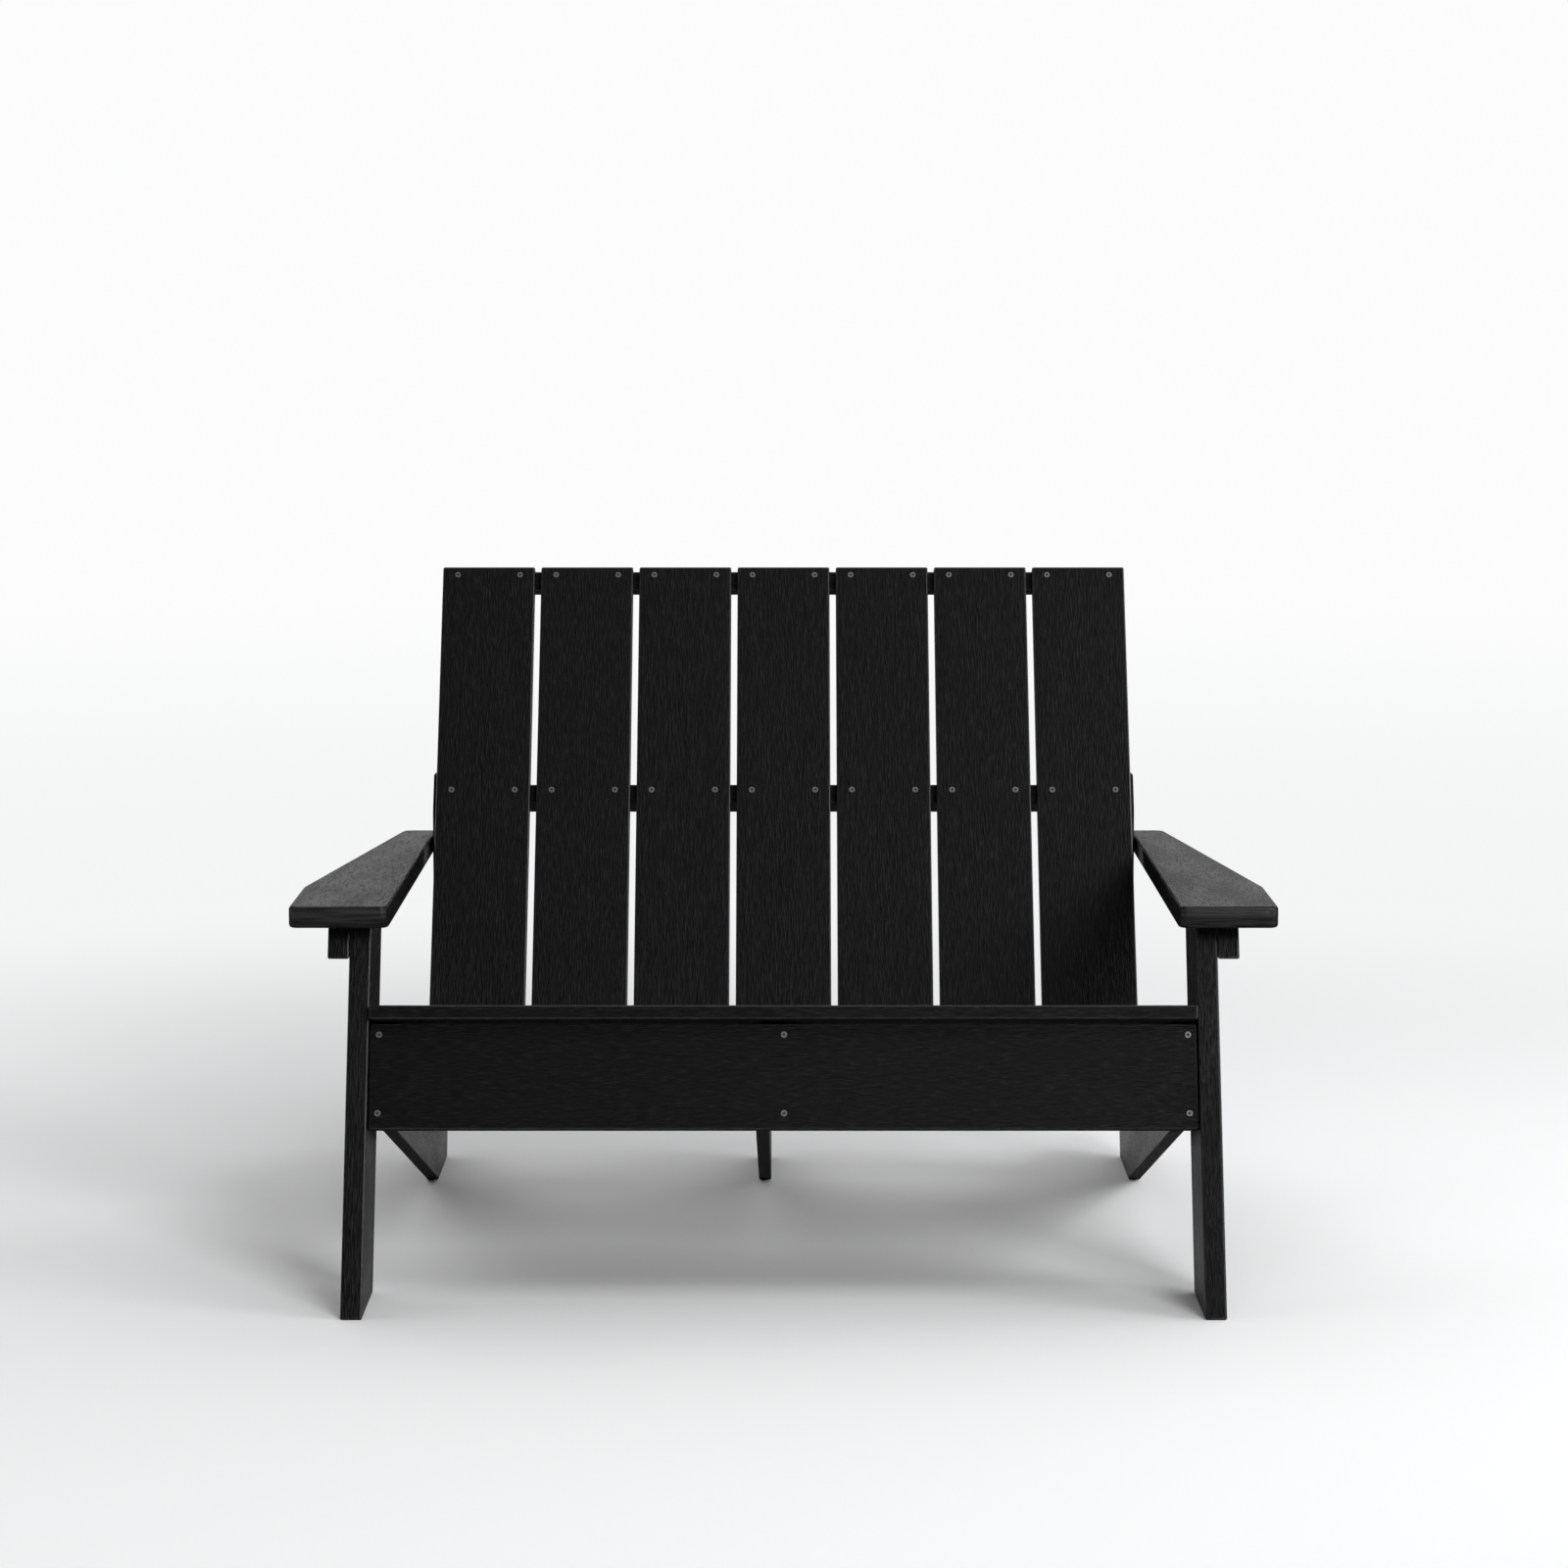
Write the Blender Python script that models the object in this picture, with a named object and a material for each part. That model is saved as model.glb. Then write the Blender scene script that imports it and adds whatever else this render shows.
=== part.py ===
"""Adirondack loveseat: seven back slats, sloping seat, tapered arms and leaning front legs.

All lengths are metres, +Z is up, +X is the sitter's left to right as seen from the front,
and the seat faces -Y. Side views are drawn in (y, z), with y = 0 at the front of the feet.
"""

import math

import bmesh
import bpy
from mathutils import Matrix, Vector

# Board stock
thin_board = 0.019
thick_board = 0.0292
edge_round = 0.0025
fit_gap = 0.0003

# Back slats and their rails
back_slat_count = 7
back_slat_width = 0.1397
back_slat_length = 0.768
back_slat_gap = 0.0094
back_lean = math.radians(26)
top_rail_height = 0.0318
mid_rail_depth = 0.0447
mid_rail_centre = 0.411
lower_rail_depth = 0.0445
lower_rail_height = 0.0572
rail_end_inset = 0.002

# Seat, apron and stringers
seat_slope = math.radians(18)
seat_slat_names = ("front", "middle", "rear")
seat_slat_width = 0.1397
seat_slat_gap = 0.0094
seat_nose = 0.0185
apron_width = 0.143
apron_height = 0.2368
apron_setback = 0.0113
apron_seat_gap = 0.0032
stringer_width = 0.1397
stringer_back_clearance = 0.0101
stringer_tail = 0.1363
centre_stringer_offset = -0.0282
cleat_width = 0.0381
cleat_depth = 0.0286

# Front legs and what stands beside them
leg_width = 0.1397
leg_lean = math.radians(19)
spacer_thickness = 0.0124
spacer_length = 0.078
spacer_inset = 0.018
bracket_height = 0.0487

# Arms
arm_height = 0.5351
arm_nose = 0.0595
arm_front_width = 0.1351
arm_straight = 0.1827
arm_rear_width = 0.0492
arm_back_clearance = 0.0128
arm_corner = 0.012
arm_edge_round = 0.004
arm_rear_overhang = 0.008

# Rear posts
post_depth = 0.0827
post_neck_depth = 0.048
post_neck_cheek = 0.012
post_lap = 0.06
post_lobe_clearance = 0.01
post_head = 0.01

# Screws: countersunk head, plain shank
wood_screw = {"head_radius": 0.0047, "head_depth": 0.0038, "radius": 0.0022}
frame_screw = {"head_radius": 0.0065, "head_depth": 0.005, "radius": 0.003}
apron_screw_length = 0.04
arm_rear_screw_length = 0.055
mid_rail_screw_length = 0.07
lower_rail_screw_length = 0.1
head_recess = 0.0003

# Screw places
slat_screw_inset = 0.0227
top_screw_drop = 0.0127
lower_screw_rise = 0.0286
seat_screw_inset = 0.025
seat_screw_spacing = 0.04
apron_screw_end_inset = 0.0127
apron_screw_rise = 0.0221
apron_screw_drop = 0.0151
cleat_screw_spacing = 0.05
bracket_screw_setback = 0.059
bracket_screw_drop = 0.0214
arm_screw_spacing = 0.1
bolt_spacing = 0.055
post_bolt_spacing = 0.042

# Carriage bolts with their nuts
bolt_radius = 0.004
bolt_head_radius = 0.0095
bolt_head_height = 0.0045
bolt_end = 0.003
nut_radius = 0.0075
nut_height = 0.0065
nut_sides = 6

# Roundness of turned pieces, and how far a cutter runs past what it cuts
turned_sides = 10
smooth_angle = math.radians(40)
head_ring_share = 0.7
arm_corner_segments = 4
cut_overrun = 0.004

sides = {"left": -1, "right": 1}

seat_slat_pitch = seat_slat_width + seat_slat_gap
back_slat_pitch = back_slat_width + back_slat_gap

# Widths across the loveseat, all worked out from the back
back_half = (back_slat_count * back_slat_pitch - back_slat_gap) / 2
rail_half = back_half - rail_end_inset
stringer_inner = back_half + stringer_back_clearance
stringer_outer = stringer_inner + thin_board
leg_inner = stringer_outer + spacer_thickness
leg_outer = leg_inner + thick_board
arm_inner = back_half + arm_back_clearance
post_outer = stringer_inner - fit_gap
post_inner = post_outer - thick_board
arm_underside = arm_height - thick_board


def seat_point(along, up):
    """Side-view point: along runs down the seat from the apron's face, up is square to it."""
    start = Vector((apron_height * math.tan(leg_lean) + apron_setback, apron_height))
    return start + along * seat_direction() + up * seat_normal()


def seat_direction():
    return Vector((math.cos(seat_slope), -math.sin(seat_slope)))


def seat_normal():
    return Vector((math.sin(seat_slope), math.cos(seat_slope)))


def back_direction():
    return Vector((math.sin(back_lean), math.cos(back_lean)))


def back_depth():
    return Vector((math.cos(back_lean), -math.sin(back_lean)))


def back_point(up, behind):
    """Side-view point: up runs along the slats from their lower ends, behind is into them."""
    lift = thin_board * math.sin(back_lean - seat_slope) + fit_gap
    foot = seat_point(seat_length, seat_top_of_stringer + lift)
    return foot + up * back_direction() + behind * back_depth()


def leg_front(height):
    return height * math.tan(leg_lean)


def crossing(point, direction, height):
    """Where the line through point along direction reaches this height."""
    return point + direction * ((height - point.y) / direction.y)


def at_depth(point, direction, depth):
    """Where the line through point along direction reaches this y."""
    return point + direction * ((depth - point.x) / direction.x)


# The stringers' lower and upper edges, and where the back starts, in seat_point's measures
seat_bottom_of_stringer = apron_width + apron_seat_gap - stringer_width
seat_top_of_stringer = apron_width + apron_seat_gap
seat_length = len(seat_slat_names) * seat_slat_pitch - seat_nose
cleat_front = thin_board + fit_gap
cleat_rear = cleat_front + cleat_depth

# The rear posts stand behind the middle rail
post_face = thin_board + mid_rail_depth + 2 * fit_gap
post_front = back_point(mid_rail_centre - thick_board / 2, post_face).x
post_neck_rear = post_front + post_neck_depth
post_rear = post_front + post_depth
arm_rear = post_rear + arm_rear_overhang
arm_front = leg_front(arm_underside) - arm_nose


def clear_scene():
    for old in list(bpy.data.objects):
        bpy.data.objects.remove(old)


def add_object(name, mesh, location, rotation=(0, 0, 0)):
    obj = bpy.data.objects.new(name, mesh)
    obj.location = location
    obj.rotation_euler = rotation
    obj.parent = root
    bpy.context.collection.objects.link(obj)
    return obj


def finish(obj, colour, roughness, metallic):
    material = bpy.data.materials.new(obj.name)
    material.use_nodes = True
    surface = material.node_tree.nodes["Principled BSDF"]
    surface.inputs["Base Color"].default_value = (*colour, 1)
    surface.inputs["Roughness"].default_value = roughness
    surface.inputs["Metallic"].default_value = metallic
    material.diffuse_color = (*colour, 1)
    obj.data.materials.append(material)


def black_lumber(obj):
    finish(obj, (0.013, 0.013, 0.014), 0.55, 0)


def dark_steel(obj):
    finish(obj, (0.2, 0.2, 0.21), 0.4, 1)


def round_edges(obj, width=edge_round, segments=2):
    bevel = obj.modifiers.new("edge rounding", "BEVEL")
    bevel.width = width
    bevel.segments = segments
    bevel.limit_method = "ANGLE"


def mesh_from(bm, name):
    bmesh.ops.recalc_face_normals(bm, faces=bm.faces)
    mesh = bpy.data.meshes.new(name)
    bm.to_mesh(mesh)
    bm.free()
    return mesh


def extruded(name, points, travel, corner_rounding=()):
    """Closed solid of a flat outline of 3-D points pushed along travel."""
    bm = bmesh.new()
    corners = [bm.verts.new(point) for point in points]
    bm.faces.new(corners)
    for index, offset in corner_rounding:
        bmesh.ops.bevel(
            bm,
            geom=[corners[index]],
            offset=offset,
            segments=arm_corner_segments,
            affect="VERTICES",
            profile=0.5,
        )
    pushed = bmesh.ops.extrude_face_region(bm, geom=list(bm.faces), use_keep_orig=True)
    moved = [item for item in pushed["geom"] if isinstance(item, bmesh.types.BMVert)]
    bmesh.ops.translate(bm, verts=moved, vec=travel)
    return mesh_from(bm, name)


def side_board(name, outline, inner, outer):
    """Board cut to a side-view outline, between two places across the loveseat."""
    start = outline[0]
    points = [Vector((0, point.x - start.x, point.y - start.y)) for point in outline]
    obj = add_object(name, extruded(name, points, (outer - inner, 0, 0)), (inner, start.x, start.y))
    black_lumber(obj)
    round_edges(obj)
    return obj


def across_board(name, outline, half_length):
    return side_board(name, outline, -half_length, half_length)


def paired_board(base, outline, inner, outer):
    """The same side board on the left and on the right."""
    return {
        side: side_board(f"{base}_{side}", outline, *sorted((sign * inner, sign * outer)))
        for side, sign in sides.items()
    }


def turned(outline, steps):
    """Closed solid of (radius, distance) points spun round the +Z axis."""
    bm = bmesh.new()
    corners = [bm.verts.new((radius, 0, distance)) for radius, distance in outline]
    edges = [bm.edges.new(pair) for pair in zip(corners, corners[1:])]
    if outline[0][0]:
        edges.append(bm.edges.new((corners[-1], corners[0])))
    bmesh.ops.spin(
        bm,
        geom=corners + edges,
        axis=(0, 0, 1),
        cent=(0, 0, 0),
        angle=2 * math.pi,
        steps=steps,
        use_merge=True,
    )
    bmesh.ops.remove_doubles(bm, verts=bm.verts, dist=fit_gap / steps)
    mesh = mesh_from(bm, "turned")
    mesh.shade_smooth()
    mesh.set_sharp_from_angle(angle=smooth_angle)
    return mesh


def facing(direction):
    """Rotation that takes +Z to this direction."""
    return Vector(direction).to_track_quat("Z", "Y")


def steel_piece(name, mesh, point, direction):
    obj = add_object(name, mesh, point, facing(direction).to_euler())
    if not mesh.materials:
        dark_steel(obj)
    return obj


def cut_holes(name, shape, places, boards):
    """Takes the shape out of each board at each place: a point and the way its +Z goes."""
    bm = bmesh.new()
    for point, direction in places:
        before = len(bm.verts)
        bm.from_mesh(shape)
        bm.verts.ensure_lookup_table()
        turn = Matrix.Translation(point) @ facing(direction).to_matrix().to_4x4()
        bmesh.ops.transform(bm, matrix=turn, verts=bm.verts[before:])
    cutter = add_object("cut_" + name, mesh_from(bm, "cut_" + name), (0, 0, 0))
    cutter.hide_render = True
    cutter.display_type = "WIRE"
    for board in boards:
        cut = board.modifiers.new("holes for " + name, "BOOLEAN")
        cut.operation = "DIFFERENCE"
        cut.object = cutter


def countersunk_hole(size, depth):
    """Half section of the hole for a screw, a fit gap wider than the screw all round."""
    head = size["head_radius"] + fit_gap
    shank = size["radius"] + fit_gap
    return [
        (0, -cut_overrun),
        (head, -cut_overrun),
        (head, head_recess),
        (shank, head_recess + size["head_depth"]),
        (shank, depth),
        (0, depth),
    ]


def countersink(name, places, boards, thickness):
    """Holes right through boards whose wood screws are too small to be pieces here."""
    shape = turned(countersunk_hole(wood_screw, thickness + cut_overrun), turned_sides)
    cut_holes(name, shape, places, boards)


def drive_screws(base, named_places, boards, size, length):
    """Screws with their heads just below the surface, and the holes that they stand in."""
    outline = [
        (0, 0),
        (size["head_radius"], 0),
        (size["radius"], size["head_depth"]),
        (size["radius"], length),
        (0, length),
    ]
    screw = turned(outline, turned_sides)
    for label, (point, direction) in named_places.items():
        sunk = point + head_recess * Vector(direction)
        steel_piece(f"{base}_{label}", screw, sunk, direction)
    hole = turned(countersunk_hole(size, head_recess + length + fit_gap), turned_sides)
    cut_holes(base, hole, named_places.values(), boards)


def fasten_bolts(base, named_places, boards, clamped):
    """Carriage bolts whose domed heads sit on the boards, with a nut on the far side."""
    end = clamped + fit_gap + nut_height + bolt_end
    dome = head_ring_share * bolt_head_height
    outline = [
        (0, -fit_gap - bolt_head_height),
        (head_ring_share * bolt_head_radius, -fit_gap - dome),
        (bolt_head_radius, -fit_gap),
        (bolt_radius, -fit_gap),
        (bolt_radius, end),
        (0, end),
    ]
    bolt = turned(outline, turned_sides)
    hole_radius = bolt_radius + fit_gap
    bore = hole_radius / math.cos(math.pi / nut_sides)
    section = [(bore, 0), (nut_radius, 0), (nut_radius, nut_height), (bore, nut_height)]
    nut = turned(section, nut_sides)
    for label, (point, direction) in named_places.items():
        steel_piece(f"{base}_bolt_{label}", bolt, point, direction)
        beyond = point + (clamped + fit_gap) * Vector(direction)
        steel_piece(f"{base}_nut_{label}", nut, beyond, direction)
    hole = [(0, -cut_overrun), (hole_radius, -cut_overrun), (hole_radius, end), (0, end)]
    cut_holes(f"{base}_bolts", turned(hole, turned_sides), named_places.values(), boards)


def across(place, side_point):
    """3-D point at a place across the loveseat and a side-view point."""
    return Vector((place, side_point.x, side_point.y))


def way(side_direction):
    return Vector((0, side_direction.x, side_direction.y))


def slat_centres():
    middle = (back_slat_count - 1) / 2
    return [(index - middle) * back_slat_pitch for index in range(back_slat_count)]


def stringer_centres():
    outer = (stringer_inner + stringer_outer) / 2
    return {"left": -outer, "centre": centre_stringer_offset, "right": outer}


def make_back_slats():
    slats = []
    outline = [
        back_point(0, 0),
        back_point(0, thin_board),
        back_point(back_slat_length, thin_board),
        back_point(back_slat_length, 0),
    ]
    for number, centre in enumerate(slat_centres(), 1):
        edges = (centre - back_slat_width / 2, centre + back_slat_width / 2)
        slats.append(side_board(f"back_slat_{number}", outline, *edges))
    return slats


def rail_outline(low, high, depth):
    front = thin_board + fit_gap
    return [
        back_point(low, front),
        back_point(low, front + depth),
        back_point(high, front + depth),
        back_point(high, front),
    ]


def make_top_rail():
    outline = rail_outline(back_slat_length - top_rail_height, back_slat_length, thin_board)
    return across_board("back_top_rail", outline, rail_half)


def make_mid_rail():
    low = mid_rail_centre - thick_board / 2
    outline = rail_outline(low, low + thick_board, mid_rail_depth)
    return across_board("back_mid_rail", outline, rail_half)


def lower_rail_start():
    """Side-view point where the back of the slats comes down to the stringers' tops."""
    slat_back = back_point(0, thin_board + fit_gap)
    top = seat_point(0, seat_top_of_stringer + fit_gap)
    drop = (slat_back - top).dot(seat_normal())
    return slat_back - back_direction() * (drop / back_direction().dot(seat_normal()))


def make_lower_rail():
    """Rail that stands on the stringers: its foot follows the seat, its face the back."""
    foot = lower_rail_start()
    back = foot + lower_rail_depth * seat_direction()
    rise = lower_rail_height * back_direction()
    return across_board("back_lower_rail", [foot, back, back + rise, foot + rise], stringer_outer)


def make_seat_slats():
    slats = []
    low = seat_top_of_stringer + fit_gap
    for number, name in enumerate(seat_slat_names):
        start = number * seat_slat_pitch - seat_nose
        outline = [
            seat_point(start, low),
            seat_point(start + seat_slat_width, low),
            seat_point(start + seat_slat_width, low + thin_board),
            seat_point(start, low + thin_board),
        ]
        slats.append(across_board(f"seat_slat_{name}", outline, leg_inner - fit_gap))
    return slats


def make_apron():
    outline = [
        seat_point(0, 0),
        seat_point(thin_board, 0),
        seat_point(thin_board, apron_width),
        seat_point(0, apron_width),
    ]
    return across_board("front_apron", outline, leg_inner - fit_gap)


def cleat_outline():
    low = seat_bottom_of_stringer
    high = seat_top_of_stringer
    return [
        seat_point(cleat_front, low),
        seat_point(cleat_rear, low),
        seat_point(cleat_rear, high),
        seat_point(cleat_front, high),
    ]


def make_cleats():
    outline = cleat_outline()
    end = leg_inner - fit_gap
    cleats = paired_board("apron_cleat", outline, end - cleat_width, end)
    start = centre_stringer_offset + thin_board / 2 + fit_gap
    cleats["centre"] = side_board("apron_cleat_centre", outline, start, start + cleat_width)
    return cleats


def stringer_outline(front):
    """Board that follows the seat and runs on down to a foot cut level with the floor."""
    low = seat_bottom_of_stringer
    high = seat_top_of_stringer
    heel = Vector((post_rear + stringer_tail, 0))
    return [
        seat_point(front, low),
        crossing(seat_point(front, low), seat_direction(), 0),
        heel,
        heel + seat_normal() * (high - (heel - seat_point(0, 0)).dot(seat_normal())),
        seat_point(front, high),
    ]


def make_stringers():
    outline = stringer_outline(cleat_rear + fit_gap)
    stringers = paired_board("stringer", outline, stringer_inner, stringer_outer)
    start = centre_stringer_offset - thin_board / 2
    outline = stringer_outline(cleat_front)
    stringers["centre"] = side_board("stringer_centre", outline, start, start + thin_board)
    return stringers


def leaning_outline(low, high):
    """Part of the leg's side view between two heights, cut level at both ends."""
    run = leg_width / math.cos(leg_lean)
    return [
        Vector((leg_front(low), low)),
        Vector((leg_front(low) + run, low)),
        Vector((leg_front(high) + run, high)),
        Vector((leg_front(high), high)),
    ]


def make_legs():
    outline = leaning_outline(0, arm_underside - fit_gap)
    return paired_board("front_leg", outline, leg_inner, leg_outer)


def make_brackets():
    high = arm_underside - fit_gap
    outline = leaning_outline(high - bracket_height, high)
    inner = leg_outer + fit_gap
    return paired_board("arm_bracket", outline, inner, inner + thick_board)


def make_spacers():
    front = cleat_rear + fit_gap
    low = seat_bottom_of_stringer + spacer_inset
    high = seat_top_of_stringer - spacer_inset
    outline = [
        seat_point(front, low),
        seat_point(front + spacer_length, low),
        seat_point(front + spacer_length, high),
        seat_point(front, high),
    ]
    return paired_board("leg_spacer", outline, stringer_outer + fit_gap, leg_inner - fit_gap)


def post_outline():
    """Wide below the arm, where its shoulder carries the arm, and a neck above it."""
    slope = seat_direction()
    foot = seat_point(0, seat_top_of_stringer - post_lap)
    face = back_point(mid_rail_centre, post_face)
    top = back_point(mid_rail_centre + thick_board / 2 + post_head, thin_board).y
    shoulder = arm_underside - fit_gap
    return [
        at_depth(foot, slope, post_front),
        at_depth(foot, slope, post_rear),
        Vector((post_rear, shoulder)),
        Vector((post_neck_rear, shoulder)),
        Vector((post_neck_rear, top)),
        crossing(face, back_direction(), top),
        at_depth(face, back_direction(), post_front),
    ]


def make_posts():
    """Rear posts, whose necks are thinned on the outer cheek."""
    posts = paired_board("rear_post", post_outline(), post_inner, post_outer)
    for side, sign in sides.items():
        beyond = sign * 2 * post_neck_cheek
        plan = [
            (0, -cut_overrun, 0),
            (beyond, -cut_overrun, 0),
            (beyond, post_depth, 0),
            (0, post_depth, 0),
        ]
        shape = extruded("cheek", plan, (0, 0, arm_height))
        start = Vector((sign * (post_outer - post_neck_cheek), post_front, arm_underside - fit_gap))
        cut_holes(f"post_neck_{side}", shape, [(start, (0, 0, 1))], [posts[side]])
    return posts


def arm_outline(sign):
    """Plan of an arm: straight beside the leg, tapered to the rear, with a lobe over the post."""
    lobe_front = post_neck_rear + post_lobe_clearance
    return [
        (sign * arm_inner, arm_front),
        (sign * (arm_inner + arm_front_width), arm_front),
        (sign * (arm_inner + arm_front_width), arm_front + arm_straight),
        (sign * (arm_inner + arm_rear_width), arm_rear),
        (sign * post_inner, arm_rear),
        (sign * post_inner, lobe_front),
        (sign * arm_inner, lobe_front),
    ]


def make_arms():
    arms = {}
    for side, sign in sides.items():
        outline = arm_outline(sign)
        start = outline[0]
        points = [(x - start[0], y - start[1], 0) for x, y in outline]
        rounding = [(0, arm_corner), (1, arm_corner), (3, arm_corner), (4, arm_corner)]
        mesh = extruded(f"arm_{side}", points, (0, 0, thick_board), rounding)
        arms[side] = add_object(f"arm_{side}", mesh, (*start, arm_underside))
        black_lumber(arms[side])
        round_edges(arms[side], arm_edge_round)
    return arms


def slat_row(height):
    """Two screws through each back slat at one height, driven straight in."""
    offset = back_slat_width / 2 - slat_screw_inset
    point = back_point(height, 0)
    return [
        (across(centre + step * offset, point), way(back_depth()))
        for centre in slat_centres()
        for step in (-1, 1)
    ]


def screw_back(slats):
    heights = {
        "top": back_slat_length - top_screw_drop,
        "mid": mid_rail_centre,
        "lower": lower_screw_rise,
    }
    for row, height in heights.items():
        countersink(f"back_{row}_screws", slat_row(height), slats, thin_board)


def screw_seat(slats):
    """Two screws through each seat slat into each stringer."""
    face = seat_top_of_stringer + fit_gap + thin_board
    rear_row = seat_slat_width - seat_nose - seat_screw_inset
    rows = [number * seat_slat_pitch + rear_row for number in range(len(seat_slat_names))]
    places = [
        (across(centre, seat_point(row - step, face)), way(-seat_normal()))
        for row in rows
        for step in (0, seat_screw_spacing)
        for centre in stringer_centres().values()
    ]
    countersink("seat_screws", places, slats, thin_board)


def screw_apron(apron, cleats):
    end = leg_inner - fit_gap - apron_screw_end_inset
    centre = centre_stringer_offset + thin_board / 2 + fit_gap + cleat_width / 2
    places = {"left": -end, "centre": centre, "right": end}
    heights = {"lower": apron_screw_rise, "upper": apron_width - apron_screw_drop}
    named = {
        f"{side}_{level}": (across(place, seat_point(0, up)), way(seat_direction()))
        for side, place in places.items()
        for level, up in heights.items()
    }
    drive_screws("apron_screw", named, [apron, *cleats.values()], wood_screw, apron_screw_length)


def screw_cleats(cleats):
    """Each cleat is screwed sideways, to a leg or to the centre stringer."""
    middle = (seat_bottom_of_stringer + seat_top_of_stringer) / 2
    depth = cleat_front + cleat_depth / 2
    points = [seat_point(depth, middle + step * cleat_screw_spacing / 2) for step in (-1, 1)]
    face = leg_inner - fit_gap - cleat_width
    centre_face = centre_stringer_offset + thin_board / 2 + fit_gap + cleat_width
    places = [(across(-face, point), (-1, 0, 0)) for point in points]
    places += [(across(face, point), (1, 0, 0)) for point in points]
    places += [(across(centre_face, point), (-1, 0, 0)) for point in points]
    countersink("cleat_screws", places, cleats.values(), cleat_width)


def leaning_centre(height):
    return leg_front(height) + leg_width / math.cos(leg_lean) / 2


def screw_brackets(legs, brackets):
    """One screw through each leg into its bracket, and two upward through that into the arm."""
    height = arm_underside - bracket_screw_drop
    y = leg_front(height) + bracket_screw_setback
    outward = [(Vector((sign * leg_inner, y, height)), (sign, 0, 0)) for sign in sides.values()]
    countersink("bracket_screws", outward, legs.values(), thick_board)
    low = arm_underside - fit_gap - bracket_height
    middle = leg_outer + fit_gap + thick_board / 2
    steps = (-arm_screw_spacing / 2, arm_screw_spacing / 2)
    upward = [
        (Vector((sign * middle, leaning_centre(low) + step, low)), (0, 0, 1))
        for sign in sides.values()
        for step in steps
    ]
    countersink("arm_front_screws", upward, brackets.values(), bracket_height)


def screw_arm_rears(arms, posts):
    y = (post_neck_rear + post_lobe_clearance + post_rear) / 2
    middle = (post_inner + post_outer) / 2
    named = {
        side: (Vector((sign * middle, y, arm_height)), (0, 0, -1)) for side, sign in sides.items()
    }
    boards = [*arms.values(), *posts.values()]
    drive_screws("arm_rear_screw", named, boards, wood_screw, arm_rear_screw_length)


def screw_mid_rail(rail, posts):
    """Driven through the rail into the posts before the slats cover the heads."""
    place = (post_inner + rail_half) / 2
    point = back_point(mid_rail_centre, thin_board + fit_gap)
    named = {side: (across(sign * place, point), way(back_depth())) for side, sign in sides.items()}
    boards = [rail, *posts.values()]
    drive_screws("mid_rail_screw", named, boards, frame_screw, mid_rail_screw_length)


def screw_lower_rail(rail, stringers):
    """Down through the rail into the top edge of each stringer."""
    top = lower_rail_start() + lower_rail_depth / 2 * seat_direction()
    top = top + lower_rail_height * back_direction()
    named = {
        side: (across(centre, top), way(-back_direction()))
        for side, centre in stringer_centres().items()
    }
    boards = [rail, *stringers.values()]
    drive_screws("lower_rail_screw", named, boards, frame_screw, lower_rail_screw_length)


def bolt_legs(legs, spacers, stringers):
    along = cleat_rear + fit_gap + spacer_length / 2
    middle = (seat_bottom_of_stringer + seat_top_of_stringer) / 2
    named = {
        f"{side}_{level}": (
            across(sign * leg_outer, seat_point(along, middle + step * bolt_spacing / 2)),
            (-sign, 0, 0),
        )
        for side, sign in sides.items()
        for level, step in {"lower": -1, "upper": 1}.items()
    }
    boards = [*legs.values(), *spacers.values(), stringers["left"], stringers["right"]]
    fasten_bolts("leg", named, boards, leg_outer - stringer_inner)


def bolt_posts(posts, stringers):
    """Bolts stand in the middle of where each post laps its stringer."""
    middle = (post_front + post_rear) / 2
    lap = seat_point(0, seat_top_of_stringer - post_lap / 2)
    named = {
        f"{side}_{end}": (
            across(
                sign * stringer_outer,
                at_depth(lap, seat_direction(), middle + step * post_bolt_spacing / 2),
            ),
            (-sign, 0, 0),
        )
        for side, sign in sides.items()
        for end, step in {"front": -1, "rear": 1}.items()
    }
    boards = [*posts.values(), stringers["left"], stringers["right"]]
    fasten_bolts("post", named, boards, stringer_outer - post_inner)


def centre_on_floor():
    """Moves the whole loveseat so that the middle of its depth lies over the origin."""
    bpy.context.view_layer.update()
    graph = bpy.context.evaluated_depsgraph_get()
    depths = []
    for obj in bpy.context.view_layer.objects:
        if obj.type == "MESH" and not obj.hide_render:
            solid = obj.evaluated_get(graph)
            depths += [(solid.matrix_world @ Vector(corner)).y for corner in solid.bound_box]
    root.location.y = -(min(depths) + max(depths)) / 2


def build():
    slats = make_back_slats()
    rails = {"top": make_top_rail(), "mid": make_mid_rail(), "lower": make_lower_rail()}
    seat_slats = make_seat_slats()
    apron = make_apron()
    cleats = make_cleats()
    stringers = make_stringers()
    legs = make_legs()
    brackets = make_brackets()
    spacers = make_spacers()
    posts = make_posts()
    arms = make_arms()

    screw_back(slats)
    screw_seat(seat_slats)
    screw_apron(apron, cleats)
    screw_cleats(cleats)
    screw_brackets(legs, brackets)
    screw_arm_rears(arms, posts)
    screw_mid_rail(rails["mid"], posts)
    screw_lower_rail(rails["lower"], stringers)
    bolt_legs(legs, spacers, stringers)
    bolt_posts(posts, stringers)
    centre_on_floor()


clear_scene()
root = bpy.data.objects.new("loveseat", None)
bpy.context.collection.objects.link(root)
build()
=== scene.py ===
import math
import random

import bpy
from mathutils import Matrix, Vector


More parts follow.
